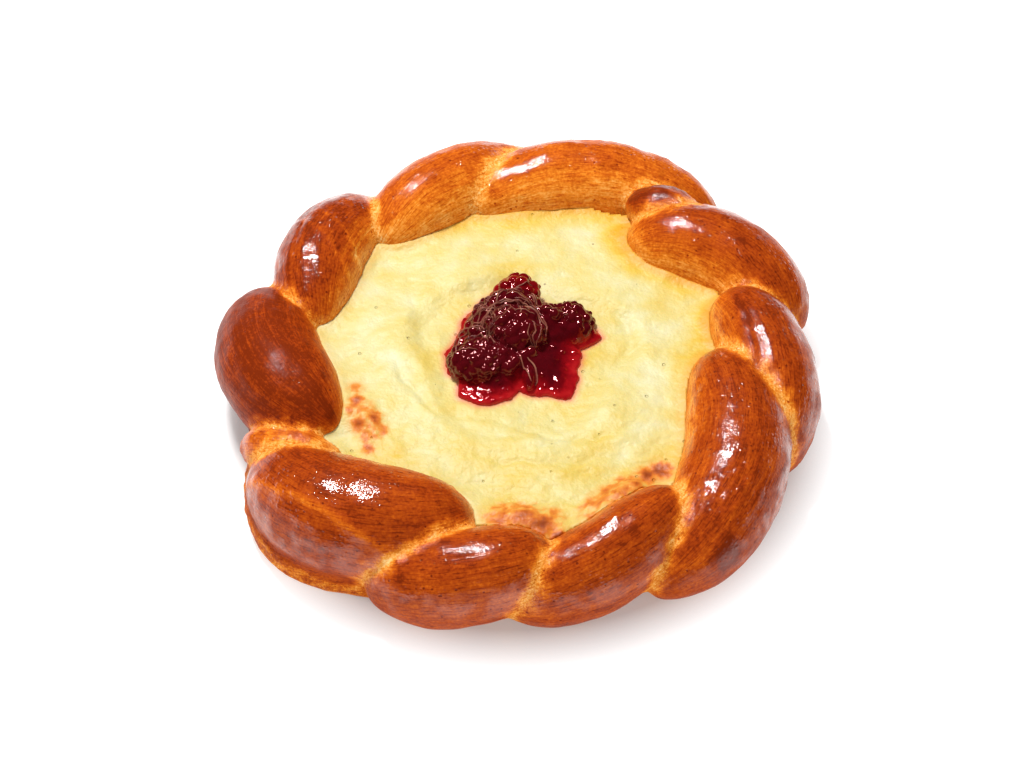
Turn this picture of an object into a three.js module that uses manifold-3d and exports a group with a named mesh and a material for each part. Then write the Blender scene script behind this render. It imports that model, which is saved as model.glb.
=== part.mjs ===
// Vatrushka: a round sweet bun, about 130 mm across. A rope of two twisted dough strands runs round a flat
// dough base, sweet curd fills the middle, and berry jam with four soft berries lies on the curd.
// Millimetres, +Z up. The origin is on the floor, under the middle of the bun. The -Y side is the front.
import * as THREE from 'three';
import { mergeVertices } from 'three/addons/utils/BufferGeometryUtils.js';
import Module from 'manifold-3d';

const wasm = await Module();
wasm.setup();

// ---------------------------------------------------------------- driving dimensions
const FIT_GAP = 0.3; // air left between two pieces that touch
const DEGREES = Math.PI / 180;

// The sizes below are measured from an axis a little off the middle of the finished outline.
const OUTLINE_MIDDLE = { x: -1.07, y: -0.29 };

// The dough base, and the low wall on it that the rope lies on.
const BASE = { radius: 57, ripple: 0.7, thickness: 8, round: 2.6 };
const BASE_SPREAD = { at: 220, reach: 11.5, width: 23 }; // it crept out under the big turn at the front left
const WALL = { radius: 56, top: 13 };
// The curd's room inside the wall. It reaches further out at some creases of the rope.
const POCKET = { radius: 47 };
const POCKET_SPILLS = [
  { at: 52, reach: 4, width: 9 },
  { at: 205, reach: 2.5, width: 9 },
  { at: 279, reach: 4, width: 9 },
  { at: 303, reach: 2, width: 8 },
];

// Each turn of the rope comes up at the outside, crosses the top and goes down at the inside.
// at: the angle in degrees of its outer tip, middle and inner tip.
// radius, lift: how far its centre line is from the bun's axis and from the floor there.
// wide, tall: its section. blunt: how round its inner tip is.
const TURNS = [
  { at: [158, 182, 207], radius: [57, 53, 43], lift: [8, 14, 14], wide: 23.5, tall: 24, blunt: 2.6 },
  { at: [203.5, 230, 256], radius: [56.5, 55, 42], lift: [7, 13.5, 14], wide: 24.5, tall: 25, blunt: 2.6 },
  { at: [239.5, 258, 277], radius: [61, 57.5, 51], lift: [6.5, 12, 13], wide: 19, tall: 21, blunt: 2.8 },
  { at: [266, 288, 311], radius: [58.5, 55, 48.5], lift: [6, 12, 14], wide: 17.5, tall: 21, blunt: 2.8 },
  { at: [295, 325, 359.5], radius: [61.5, 53.5, 39.5], lift: [7, 13.5, 14], wide: 22.5, tall: 23, blunt: 3.4 },
  { at: [334.5, 357, 381], radius: [58.5, 53, 46.5], lift: [7, 13.5, 14], wide: 20, tall: 23, blunt: 3 },
  { at: [372, 393.5, 415], radius: [61, 53.5, 41], lift: [8, 13.5, 14], wide: 21.5, tall: 23, blunt: 3 },
  { at: [46, 74, 107], radius: [64, 56, 46], lift: [8, 13.5, 13], wide: 20, tall: 22, blunt: 2.4 },
  { at: [83, 108, 133], radius: [61, 53, 46], lift: [8, 13.5, 13], wide: 20, tall: 22, blunt: 2.8 },
  { at: [123, 144, 169], radius: [56.5, 53, 44.5], lift: [8, 14, 13], wide: 20, tall: 22, blunt: 2.4 },
];
const OUTER_TIP_BLUNT = 2;
// Small bits of dough: a fold that fills a crease at the left, the tucked-in end of a strand, and three
// bumps that stand in the curd.
const SMALL_ROLLS = [
  { at: [199, 208, 217], radius: [61.5, 54, 46], lift: [8, 13.5, 13.5], wide: 10, tall: 13, blunt: 2 },
  { at: [42, 50, 61], radius: [52, 52, 48.5], lift: [18, 18.5, 17], wide: 12, tall: 12, blunt: 2 },
  { at: [196, 208, 219], radius: [37.5, 37.2, 37], lift: [10.5, 11.3, 10.5], wide: 6.5, tall: 11, blunt: 2 },
  { at: [259, 270, 282], radius: [44.3, 44.8, 47.5], lift: [11, 12.5, 11.5], wide: 8.5, tall: 10, blunt: 2 },
  { at: [283, 297, 309], radius: [47.5, 44.3, 41.3], lift: [11.5, 12.8, 12], wide: 8.5, tall: 10, blunt: 2 },
];

// The curd: higher next to the rope, with a shallow dish round the jam that ends in a soft fold. Its top also
// swells a little, in waves of the given lengths.
const CURD = { level: 15.2, crown: 1.2, crownFrom: 20, dish: 1.0, dishRadius: 25, fold: 5 };
const CURD_SWELL = { height: 0.35, long: [6, 7], short: [4, 5] };

// The jam: a low puddle. Its outline is a radius, with a tongue or a notch at some angles.
const JAM = { x: -1.5, y: 1.5, radius: 14, middle: 4.6, edge: 0.9, ripple: 0.25 };
const JAM_TONGUES = [
  { at: 11, reach: 1.5, width: 7 },
  { at: 30, reach: 5, width: 24 },
  { at: 85, reach: 5.5, width: 15 },
  { at: 236, reach: 4, width: 17 },
  { at: 278, reach: -1.8, width: 8 },
  { at: 312, reach: 4.2, width: 14 },
];
const BERRY_SKIN = { centre: [1.8, -6.3, 17.2], size: [2.2, 4.6, 2.2] }; // a torn skin in the jam

// The berries: an oval core under soft drupelets. size: half of its length, width and height.
const BERRIES = [
  { name: 'berry_middle', centre: [-0.9, 3.8, 18.6], size: [7.3, 6.9, 6.2], drupelets: 26, drupelet: 2.0 },
  { name: 'berry_left', centre: [-8.5, -3.4, 17.6], size: [7.4, 5.8, 4.7], drupelets: 20, drupelet: 1.9 },
  { name: 'berry_right', centre: [10.9, 8.0, 17.4], size: [6.0, 5.8, 4.7], drupelets: 17, drupelet: 1.8 },
  { name: 'berry_back', centre: [-0.9, 16.2, 17.4], size: [5.3, 4.6, 4.1], drupelets: 11, drupelet: 1.8 },
];
const BERRY_FLOOR = 17.4; // the berries are cut flat here, on a layer of jam
const LOWEST_DRUPELET = -0.2; // as a share of the berry's half height

// How many faces go round and along each shape.
const FACES = {
  slab: 72,
  turn: [16, 14],
  smallRoll: [10, 8],
  curd: { rings: 9, underRings: 1, sides: 36 },
  jam: { rings: 5, underRings: 3, sides: 40 },
  berry: 14,
  drupelet: 6,
};

const LOOKS = {
  dough: { color: 0xb3641f, roughness: 0.35 },
  curd: { color: 0xf6e39a, roughness: 0.55 },
  jam: { color: 0xa40f1c, roughness: 0.15 },
  berry: { color: 0x5a0715, roughness: 0.25 },
};

// ---------------------------------------------------------------- solids
const toSolid = (geometry) => {
  geometry.deleteAttribute('normal');
  geometry.deleteAttribute('uv');
  const merged = mergeVertices(geometry, 1e-4);
  return new wasm.Manifold(new wasm.Mesh({
    numProp: 3,
    vertProperties: merged.attributes.position.array,
    triVerts: new Uint32Array(merged.index.array),
  }));
};

const toMesh = (name, solid, look) => {
  const { vertProperties, triVerts } = solid.getMesh();
  const geometry = new THREE.BufferGeometry()
    .setAttribute('position', new THREE.BufferAttribute(vertProperties, 3))
    .setIndex(new THREE.BufferAttribute(triVerts, 1));
  geometry.computeVertexNormals();
  const mesh = new THREE.Mesh(geometry, new THREE.MeshStandardMaterial({ ...look, metalness: 0 }));
  mesh.name = name;
  return mesh;
};

const joined = (solids) => solids.reduce((all, one) => all.add(one));
const largestPiece = (solid) => solid.decompose().reduce((a, b) => (a.volume() > b.volume() ? a : b));

// A smooth value through three: the first at t = 0, the middle one at t = 0.5 and the last at t = 1.
const through = ([first, middle, last], t) =>
  first * (2 * t - 1) * (t - 1) + middle * 4 * t * (1 - t) + last * t * (2 * t - 1);

// 1 at an angle in degrees, and falling off smoothly on both sides of it.
const near = (angle, { at, width }) => Math.exp(-(((((angle - at + 540) % 360) - 180) / width) ** 2));

const polar = (radius, angle) => [radius * Math.cos(angle * DEGREES), radius * Math.sin(angle * DEGREES)];

// A flat slab whose outline is a radius for each angle, with round edges if round is given.
const slab = (radiusAt, bottom, top, round = 0) => {
  const corners = Array.from({ length: FACES.slab }, (_, i) => (360 * i) / FACES.slab)
    .map((angle) => new THREE.Vector2(...polar(radiusAt(angle) - round, angle)));
  const geometry = new THREE.ExtrudeGeometry(new THREE.Shape(corners), {
    depth: top - bottom - 2 * round,
    bevelEnabled: round > 0,
    bevelThickness: round,
    bevelSize: round,
    bevelSegments: 3,
  });
  return toSolid(geometry.translate(0, 0, bottom + round));
};

// A round plug about a middle: a tube whose rings run from the middle of the top out to the outline, down the
// side and in to the middle of the bottom. The outline is a radius for each angle. Top and bottom each follow
// a height, where share is how far out a place is, from 0 at the middle to 1 at the outline.
const plug = (middle, radiusAt, bottomAt, topAt, { rings, underRings, sides }) => {
  const rows = rings + 1 + underRings;
  const tube = new THREE.CylinderGeometry(1, 1, 2, sides, rows, true);
  const place = tube.attributes.position;
  for (let i = 0; i < place.count; i += 1) {
    const row = Math.floor(i / (sides + 1));
    const onTop = row <= rings;
    const share = onTop ? row / rings : (rows - row) / underRings;
    const angle = (360 * ((i % (sides + 1)) % sides)) / sides;
    const [x, y] = polar(radiusAt(angle) * share, angle);
    const heightAt = onTop ? topAt : bottomAt;
    place.setXYZ(i, middle.x + x, middle.y + y, heightAt(middle.x + x, middle.y + y, share));
  }
  return toSolid(tube);
};

// ---------------------------------------------------------------- dough
// The centre line of a turn, from its outer tip at t = 0 to its inner tip at t = 1.
const centreLine = (turn, t) => {
  const [x, y] = polar(through(turn.radius, t), through(turn.at, t));
  return new THREE.Vector3(x, y, through(turn.lift, t));
};

// One turn of strand: a ball drawn out along the centre line, its oval section closing at both tips.
const strandTurn = (turn, grow, faces) => {
  const drawnOut = new THREE.SphereGeometry(1, ...faces).rotateZ(-Math.PI / 2);
  const place = drawnOut.attributes.position;
  const vertical = new THREE.Vector3(0, 0, 1);
  const step = 1e-3;
  for (let i = 0; i < place.count; i += 1) {
    const s = THREE.MathUtils.clamp(place.getX(i), -1, 1);
    const t = (s + 1) / 2;
    const swell = Math.sqrt(Math.max(0, 1 - Math.abs(s) ** (s < 0 ? OUTER_TIP_BLUNT : turn.blunt)));
    const roll = Math.atan2(place.getZ(i), place.getY(i));
    const ahead = centreLine(turn, t + step).sub(centreLine(turn, t - step)).normalize();
    const side = vertical.clone().cross(ahead).normalize();
    const up = ahead.clone().cross(side);
    const point = centreLine(turn, t)
      .addScaledVector(side, Math.cos(roll) * swell * (turn.wide / 2 + grow))
      .addScaledVector(up, Math.sin(roll) * swell * (turn.tall / 2 + grow))
      .addScaledVector(ahead, s * grow);
    place.setXYZ(i, point.x, point.y, point.z);
  }
  return toSolid(drawnOut);
};

const strands = (grow) => joined([
  ...TURNS.map((turn) => strandTurn(turn, grow, FACES.turn)),
  ...SMALL_ROLLS.map((roll) => strandTurn(roll, grow, FACES.smallRoll)),
]);

const pocketRadius = (angle) => POCKET_SPILLS.reduce(
  (radius, spill) => radius + spill.reach * near(angle, spill),
  POCKET.radius,
);

const makeDough = () => {
  const baseRadius = (angle) => BASE.radius + BASE.ripple * Math.sin(5 * angle * DEGREES + 1)
    + BASE_SPREAD.reach * near(angle, BASE_SPREAD);
  const base = slab(baseRadius, 0, BASE.thickness, BASE.round);
  const wall = slab(() => WALL.radius, BASE.round, WALL.top);
  const pocket = slab((angle) => pocketRadius(angle) + FIT_GAP, BASE.thickness, 2 * WALL.top);
  return largestPiece(base.add(wall).subtract(pocket).add(strands(0)));
};

// ---------------------------------------------------------------- curd
// The height of the curd's top at a place.
const curdTop = (x, y) => {
  const radius = Math.hypot(x, y);
  const angle = Math.atan2(y, x);
  const dishEnd = CURD.dishRadius * (1 + 0.08 * Math.sin(3 * angle + 0.6) + 0.05 * Math.sin(5 * angle));
  const dish = CURD.dish * (1 - THREE.MathUtils.smoothstep(radius, dishEnd - CURD.fold, dishEnd));
  const crown = CURD.crown * (1 - THREE.MathUtils.smoothstep(radius, CURD.crownFrom, POCKET.radius));
  const { height, long, short } = CURD_SWELL;
  const longWaves = Math.sin(x / long[0] + 0.4) * Math.sin(y / long[1] + 1.1);
  const shortWaves = Math.sin(x / short[0] + y / short[1]) / 2;
  return CURD.level + crown - dish + height * (longWaves + shortWaves);
};

const makeCurd = () => {
  const axis = { x: 0, y: 0 };
  const filling = plug(axis, pocketRadius, () => BASE.thickness + FIT_GAP, curdTop, FACES.curd);
  return largestPiece(filling.subtract(strands(FIT_GAP)));
};

// ---------------------------------------------------------------- jam and berries
const jamRadius = (angle) => JAM.radius
  + JAM_TONGUES.reduce((sum, tongue) => sum + tongue.reach * near(angle, tongue), 0);
const jamFloor = (x, y) => curdTop(x, y) + FIT_GAP;
const jamTop = (x, y, share) => jamFloor(x, y) + JAM.edge + (JAM.middle - JAM.edge) * (1 - share ** 2)
  + JAM.ripple * Math.sin(x * 1.1) * Math.sin(y * 1.3);

const ball = (centre, halves, around) => {
  const round = new THREE.SphereGeometry(1, around, around * 0.6).rotateX(Math.PI / 2);
  return toSolid(round.scale(...halves).translate(...centre));
};

const underBerries = (grow) => slab(() => BASE.radius, 0, BERRY_FLOOR - grow);
const bareBerry = ({ centre, size }, grow) => ball(centre, size.map((half) => half + grow), FACES.berry)
  .subtract(underBerries(Math.max(grow, 0)));

// A berry: drupelets on the upper side of an oval core, each a golden angle on from the last, cut flat below.
const GOLDEN_ANGLE = 180 * (3 - Math.sqrt(5));
const berry = (entry) => {
  const { centre, size, drupelets, drupelet } = entry;
  const beads = Array.from({ length: drupelets }, (_, i) => {
    const height = 1 - ((i + 0.5) / drupelets) * (1 - LOWEST_DRUPELET);
    const [x, y] = polar(Math.sqrt(1 - height ** 2), i * GOLDEN_ANGLE);
    const place = [x, y, height].map((part, axis) => centre[axis] + part * (size[axis] - drupelet));
    return ball(place, Array(3).fill(drupelet * (1 + 0.1 * Math.sin(7 * i))), FACES.drupelet);
  });
  return joined([bareBerry(entry, -0.75 * drupelet), ...beads]).subtract(underBerries(0));
};

// ---------------------------------------------------------------- the bun
const berries = BERRIES.map((entry, i) => {
  const earlier = BERRIES.slice(0, i).map((other) => bareBerry(other, FIT_GAP));
  const rest = earlier.reduce((left, other) => left.subtract(other), berry(entry));
  return toMesh(entry.name, largestPiece(rest), LOOKS.berry);
});
const puddle = plug(JAM, jamRadius, jamFloor, jamTop, FACES.jam)
  .add(bareBerry(BERRY_SKIN, 0))
  .subtract(joined(BERRIES.map((entry) => bareBerry(entry, FIT_GAP))));

const bun = new THREE.Group();
bun.add(
  toMesh('dough', makeDough(), LOOKS.dough),
  toMesh('curd', makeCurd(), LOOKS.curd),
  toMesh('jam', largestPiece(puddle), LOOKS.jam),
  ...berries,
);
bun.position.set(-OUTLINE_MIDDLE.x, -OUTLINE_MIDDLE.y, 0);

export default bun;
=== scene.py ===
# %% [markdown]
# # A vatrushka
# This lesson dresses a plain model of a baked bun: a twisted dough rope round a curd filling, with berry
# jam in the middle. The plain model gives every size and place. Each step says what the piece is on the
# real bun, how it could be made in Blender, and why it is made this way here. The plain model is loaded
# first, and its box is kept, because the dressed bun should fill the same room.

# %% Load the frame
import math

import bpy
import numpy as np
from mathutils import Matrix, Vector, noise
from mathutils.bvhtree import BVHTree


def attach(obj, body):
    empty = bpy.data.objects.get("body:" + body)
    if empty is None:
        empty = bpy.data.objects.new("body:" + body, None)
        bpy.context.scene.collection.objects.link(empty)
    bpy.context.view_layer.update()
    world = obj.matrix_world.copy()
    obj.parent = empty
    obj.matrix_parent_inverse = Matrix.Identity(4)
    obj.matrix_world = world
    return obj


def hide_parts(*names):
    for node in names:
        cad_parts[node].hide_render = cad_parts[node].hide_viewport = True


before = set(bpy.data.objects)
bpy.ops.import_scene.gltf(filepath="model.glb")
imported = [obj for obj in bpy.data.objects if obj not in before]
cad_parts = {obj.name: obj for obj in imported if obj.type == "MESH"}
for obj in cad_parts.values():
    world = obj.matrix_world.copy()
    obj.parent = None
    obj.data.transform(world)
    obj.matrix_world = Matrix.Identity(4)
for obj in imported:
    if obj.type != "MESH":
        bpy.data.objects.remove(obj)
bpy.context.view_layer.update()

MM = 0.001

# %% [markdown]
# ## Camera, floor and light
# The bun is seen from the front at 49 degrees above the table, from a little over half a metre, with a long
# lens. The floor is plain and nearly white. A small window behind, above and to the left gives the crust
# and the jam their bright spots, and two wide weak fills keep the shadow at the lower right faint. All of
# it is set before any modelling, so that each new piece can be looked at in its final light.

# %% Camera, floor, light
LOOK_AT = Vector((-0.83, -3.31, 10.6)) * MM
CAMERA_AWAY, CAMERA_UP = 0.56, math.radians(49)
FOCAL_PIXELS, IMAGE_WIDTH = 2619, 1024


def aim(obj, target):
    """Turns an object so that it looks at a place."""
    obj.rotation_euler = (target - obj.location).to_track_quat("-Z", "Y").to_euler()


camera = bpy.data.objects.new("camera", bpy.data.cameras.new("camera"))
bpy.context.collection.objects.link(camera)
camera.location = LOOK_AT + CAMERA_AWAY * Vector((0, -math.cos(CAMERA_UP), math.sin(CAMERA_UP)))
aim(camera, LOOK_AT)
camera.data.sensor_width = 36
camera.data.lens = FOCAL_PIXELS / IMAGE_WIDTH * camera.data.sensor_width
camera.data.clip_start = 0.01
bpy.context.scene.camera = camera


def soft_light(name, place, wide, high, power):
    """A rectangular soft light that points at the bun. Sizes are in metres, the power is in watts."""
    lamp = bpy.data.lights.new(name, "AREA")
    lamp.shape = "RECTANGLE"
    lamp.size, lamp.size_y, lamp.energy = wide, high, power
    light = bpy.data.objects.new(name, lamp)
    light.location = Vector(place)
    bpy.context.collection.objects.link(light)
    aim(light, Vector((0, 0, 0.012)))
    return light


soft_light("window", (-0.19, 0.3, 0.74), 0.14, 0.105, 8.1)
for fill in (soft_light("fill_left", (-0.8, -0.3, 0.6), 0.9, 0.9, 0.9),
             soft_light("fill_front", (0.2, -1.0, 0.55), 1.0, 1.0, 4.6)):
    fill.visible_glossy = False  # the glazed crust mirrors the window only, so that its browns stay deep

world = bpy.data.worlds.new("studio")
bpy.context.scene.world = world
world.use_nodes = True
world.node_tree.nodes["Background"].inputs["Color"].default_value = (1, 1, 1, 1)
world.node_tree.nodes["Background"].inputs["Strength"].default_value = 0.43
world.cycles_visibility.glossy = False
bpy.context.scene.view_settings.view_transform = "Standard"

bpy.ops.mesh.primitive_plane_add(size=6, location=(0, 0, 0))
floor = bpy.context.object
floor.name = "floor"
floor_look = bpy.data.materials.new("floor")
floor_look.use_nodes = True
glow = floor_look.node_tree.nodes
table = glow["Principled BSDF"].inputs
table["Base Color"].default_value = (0.5, 0.5, 0.5, 1)
table["Roughness"].default_value = 0.6
table["Emission Color"].default_value = (1, 1, 1, 1)
# the table glows a little, which is painted light that whitens it as an overexposed one is, and it glows less
# right beside the bun, which paints a darker ring there, where the shadow shows
where = glow.new("ShaderNodeTexCoord")
away = glow.new("ShaderNodeVectorMath")
away.operation = "LENGTH"
fade = glow.new("ShaderNodeMapRange")
for socket, value in (("From Min", 0.060), ("From Max", 0.071), ("To Min", 0.2), ("To Max", 0.9)):
    fade.inputs[socket].default_value = value
floor_look.node_tree.links.new(where.outputs["Object"], away.inputs[0])
floor_look.node_tree.links.new(away.outputs["Value"], fade.inputs["Value"])
floor_look.node_tree.links.new(fade.outputs["Result"], table["Emission Strength"])
floor.data.materials.append(floor_look)
print("camera lens in mm:", round(camera.data.lens, 1))

# %% [markdown]
# ## Names for the sizes
# The rope has ten turns that show. Each one comes up at the outside, crosses the top and goes down at the
# inside, so its middle line is known from three places: its outer tip, its middle and its inner tip. The
# numbers are the ones the plain model is built from, in millimetres and degrees round the bun's own axis.

# %% The turns of the rope and its small bumps
AXIS = Vector((1.07, 0.29, 0)) * MM  # what they are measured from, a little off the outline's middle
FLOOR = 0.0
TURN_KEYS = ("at", "radius", "lift", "wide", "tall", "blunt")  # the first three at both tips and the middle
TURNS = {name: dict(zip(TURN_KEYS, values)) for name, *values in (
    ("left", (158, 182, 207), (57, 53, 43), (8, 14, 14), 23.5, 24, 2.6),
    ("front_left", (203.5, 230, 256), (56.5, 55, 42), (7, 13.5, 14), 24.5, 25, 2.6),
    ("front", (239.5, 258, 277), (61, 57.5, 51), (6.5, 12, 13), 19, 21, 2.8),
    ("front_right", (266, 288, 311), (58.5, 55, 48.5), (6, 12, 14), 17.5, 21, 2.8),
    ("right_front", (295, 325, 359.5), (61.5, 53.5, 39.5), (7, 13.5, 14), 22.5, 23, 3.4),
    ("right", (334.5, 357, 381), (58.5, 53, 46.5), (7, 13.5, 14), 20, 23, 3),
    ("right_back", (372, 393.5, 415), (61, 53.5, 41), (8, 13.5, 14), 21.5, 23, 3),
    ("back", (46, 74, 107), (64, 56, 46), (8, 13.5, 13), 20, 22, 2.4),
    ("back_left", (83, 108, 133), (61, 53, 46), (8, 13.5, 13), 20, 22, 2.8),
    ("left_back", (123, 144, 169), (56.5, 53, 44.5), (8, 14, 13), 20, 22, 2.4),
    ("web_left", (199, 208, 217), (61.5, 54, 46), (8, 13.5, 13.5), 10, 13, 2),
    ("tuck", (42, 50, 61), (52, 52, 48.5), (18, 18.5, 17), 12, 12, 2),
    ("bump_left", (196, 208, 219), (37.5, 37.2, 37), (10.5, 11.3, 10.5), 6.5, 11, 2),
    ("bump_front", (259, 270, 282), (44.3, 44.8, 47.5), (11, 12.5, 11.5), 8.5, 10, 2),
    ("bump_right", (283, 297, 309), (47.5, 44.3, 41.3), (11.5, 12.8, 12), 8.5, 10, 2),
)}
BUMPS = ("bump_left", "bump_front", "bump_right")
OUTER_TIP_BLUNT = 2.0


def through(values, t):
    """A smooth value through three: at t = 0, 0.5 and 1."""
    first, middle, last = values
    return first * (2 * t - 1) * (t - 1) + middle * 4 * t * (1 - t) + last * t * (2 * t - 1)


def centre_line(turn, t):
    """A place on a turn's middle line in metres, from its outer tip at t = 0 to its inner tip at t = 1."""
    angle, radius = math.radians(through(turn["at"], t)), through(turn["radius"], t)
    return AXIS + Vector((radius * math.cos(angle), radius * math.sin(angle), through(turn["lift"], t))) * MM


print(len(TURNS), "rolls of dough")

# %% [markdown]
# ## One roll of dough, modelled straight
# A turn of the rope is a fat roll with two closed tips. It could be a ball that is stretched, but then its
# tips are always pointed. Here a circle is extruded along X ring by ring, as by hand, and each new ring is
# resized, so that each tip can be as blunt as the real one. The roll is then bent along its own line by a
# Curve modifier.

# %% Helpers, and the straight roll
RINGS, ROUND = 26, 40


def deselect():
    """Leaves edit mode and selects nothing."""
    if bpy.context.object and bpy.context.object.mode != "OBJECT":
        bpy.ops.object.mode_set(mode="OBJECT")
    bpy.ops.object.select_all(action="DESELECT")


def activate(*objs):
    """Selects these objects only, and makes the first one active."""
    deselect()
    for obj in objs:
        obj.select_set(True)
    bpy.context.view_layer.objects.active = objs[0]


def apply_modifier(obj, kind, **settings):
    """Adds a modifier, sets it and applies it."""
    activate(obj)
    bpy.ops.object.modifier_add(type=kind)
    modifier = obj.modifiers[-1]
    for key, value in settings.items():
        setattr(modifier, key, value)
    bpy.ops.object.modifier_apply(modifier=modifier.name)


def select_vertices(obj, wanted):
    """Enters edit mode with only those vertices selected whose place passes the test."""
    activate(obj)
    bpy.ops.object.mode_set(mode="EDIT")
    bpy.ops.mesh.select_mode(type="VERT")
    bpy.ops.mesh.select_all(action="DESELECT")
    bpy.ops.object.mode_set(mode="OBJECT")
    for v in obj.data.vertices:
        v.select = bool(wanted(v.co))
    bpy.ops.object.mode_set(mode="EDIT")


def shape_of(obj):
    """The surface of an object, for nearest place and ray searches."""
    return BVHTree.FromPolygons(
        [v.co.copy() for v in obj.data.vertices], [p.vertices[:] for p in obj.data.polygons])


def finish_block(obj):
    """Turns all faces outward and leaves edit mode."""
    bpy.ops.mesh.select_all(action="SELECT")
    bpy.ops.mesh.normals_make_consistent(inside=False)
    bpy.ops.object.mode_set(mode="OBJECT")
    return obj


def angle_of(place):
    """The angle of a place round the bun's axis, in degrees."""
    return math.degrees(math.atan2(place.y - AXIS.y, place.x - AXIS.x))


def straight_roll(name, length, wide, tall, blunt):
    """A closed roll along X, from its outer tip to its inner one."""
    def swell(s):
        return math.sqrt(1 - abs(s) ** (OUTER_TIP_BLUNT if s < 0 else blunt))

    places = [-math.cos(math.pi * k / RINGS) for k in range(1, RINGS)]
    deselect()
    bpy.ops.mesh.primitive_circle_add(
        vertices=ROUND, radius=swell(places[0]), location=(places[0], 0, 0), rotation=(0, math.pi / 2, 0))
    roll = bpy.context.object
    roll.name = name
    bpy.ops.object.transform_apply(location=True, rotation=True, scale=True)
    bpy.ops.object.mode_set(mode="EDIT")
    bpy.ops.mesh.select_all(action="SELECT")
    for before, here in zip(places, places[1:]):
        bpy.ops.mesh.extrude_region_move(TRANSFORM_OT_translate={"value": (here - before, 0, 0)})
        bigger = swell(here) / swell(before)
        bpy.ops.transform.resize(value=(1, bigger, bigger), center_override=(here, 0, 0))
    bpy.ops.mesh.select_all(action="SELECT")
    bpy.ops.mesh.fill_holes(sides=0)
    bpy.ops.transform.resize(value=(length / 2, wide / 2, tall / 2), center_override=(0, 0, 0))
    return finish_block(roll)


def bend_along(roll, turn, steps=32):
    """Bends a straight roll along its turn's middle line."""
    line = bpy.data.curves.new(roll.name + "_line", "CURVE")
    line.dimensions = "3D"
    line.twist_mode = "Z_UP"
    line.use_stretch = True
    line.use_deform_bounds = True
    spline = line.splines.new("POLY")
    spline.points.add(steps)
    for k in range(steps + 1):
        spline.points[k].co = (*centre_line(turn, k / steps), 1)
    guide = bpy.data.objects.new(line.name, line)
    bpy.context.collection.objects.link(guide)
    apply_modifier(roll, "CURVE", object=guide, deform_axis="POS_X")
    bpy.data.objects.remove(guide)
    bpy.data.curves.remove(line)


rolls = {}
for name, turn in TURNS.items():
    run = sum((centre_line(turn, (k + 1) / 32) - centre_line(turn, k / 32)).length for k in range(32))
    rolls[name] = straight_roll(name, run, turn["wide"] * MM, turn["tall"] * MM, turn["blunt"])
    bend_along(rolls[name], turn)
print("the longest roll's box in mm:", [round(v / MM, 1) for v in rolls["right_front"].dimensions])

# %% [markdown]
# ## The base and the low wall
# Under the rope lies a flat round of the same dough, and a low wall of it carries the rope and holds the
# curd in. A circle is filled, extruded up and bevelled for the base. The wall is a second one, whose top is
# inset and pressed down to make room for the curd. The base crept out under the big turn at the front left,
# so its rim is pulled out there, and it is made a little ragged all round.

# %% Base and wall
BASE = dict(radius=57, ripple=0.7, thickness=8, round=2.6)
SPREAD = dict(at=220, reach=10.6, width=23)
WALL = dict(radius=56, top=13)
POCKET = dict(radius=47)
POCKET_SPILLS = ((52, 4, 9), (205, 2.5, 9), (279, 4, 9), (303, 2, 8))  # at, reach, width


def near(angle, at, width):
    """1 at an angle in degrees, and falling off smoothly on both sides of it."""
    return math.exp(-((((angle - at + 540) % 360) - 180) / width) ** 2)


def round_slab(name, radius, bottom, top, sides=144):
    """A flat round of dough on the bun's axis, left in edit mode with its top face selected."""
    deselect()
    bpy.ops.mesh.primitive_circle_add(
        vertices=sides, radius=radius * MM, fill_type="NGON", location=AXIS + Vector((0, 0, bottom * MM)))
    slab = bpy.context.object
    slab.name = name
    bpy.ops.object.transform_apply(location=True)
    bpy.ops.object.mode_set(mode="EDIT")
    bpy.ops.mesh.select_all(action="SELECT")
    bpy.ops.mesh.extrude_region_move(TRANSFORM_OT_translate={"value": (0, 0, (top - bottom) * MM)})
    return slab


base = finish_block(round_slab("base", BASE["radius"], FLOOR, BASE["thickness"]))
for v in base.data.vertices:
    out, angle = v.co - AXIS, angle_of(v.co)
    ragged = 0.8 * noise.noise(v.co * 220) + 0.5 * noise.noise(v.co * 600)
    grow = BASE["ripple"] * math.sin(5 * math.radians(angle) + 1) + SPREAD["reach"] * near(
        angle, SPREAD["at"], SPREAD["width"]) + ragged
    v.co.xy += out.xy.normalized() * grow * MM
apply_modifier(base, "BEVEL", width=BASE["round"] * MM, segments=5, limit_method="ANGLE", angle_limit=1.0)

wall = round_slab("wall", WALL["radius"], BASE["round"], WALL["top"])
bpy.ops.mesh.inset(thickness=(WALL["radius"] - POCKET["radius"]) * MM)
bpy.ops.transform.translate(value=(0, 0, (BASE["thickness"] - WALL["top"]) * MM))
finish_block(wall)
print("base and wall:", len(base.data.polygons), len(wall.data.polygons), "faces")

# %% [markdown]
# ## One dough from all the rolls
# In the oven the rolls grow together and their creases fill in a little. Joining the meshes and remeshing
# them with fine voxels gives one skin over all of them, and a Smooth modifier then softens the creases, as
# rising dough does. The shape of each roll is kept first, because the crust needs to know which roll it
# belongs to.

# %% Join, remesh, soften
VOXEL = 0.72 * MM
roll_points = {name: [v.co.copy() for v in roll.data.vertices] for name, roll in rolls.items()}
roll_shapes = {name: shape_of(roll) for name, roll in rolls.items()}
activate(base, wall, *rolls.values())
bpy.ops.object.join()
crust = bpy.context.object
crust.name = crust.data.name = "crust"
bpy.ops.object.transform_apply(location=True, rotation=True, scale=True)
apply_modifier(crust, "REMESH", mode="VOXEL", voxel_size=VOXEL)
apply_modifier(crust, "SMOOTH", factor=0.5, iterations=5)
print("crust:", len(crust.data.vertices), "vertices")
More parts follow.
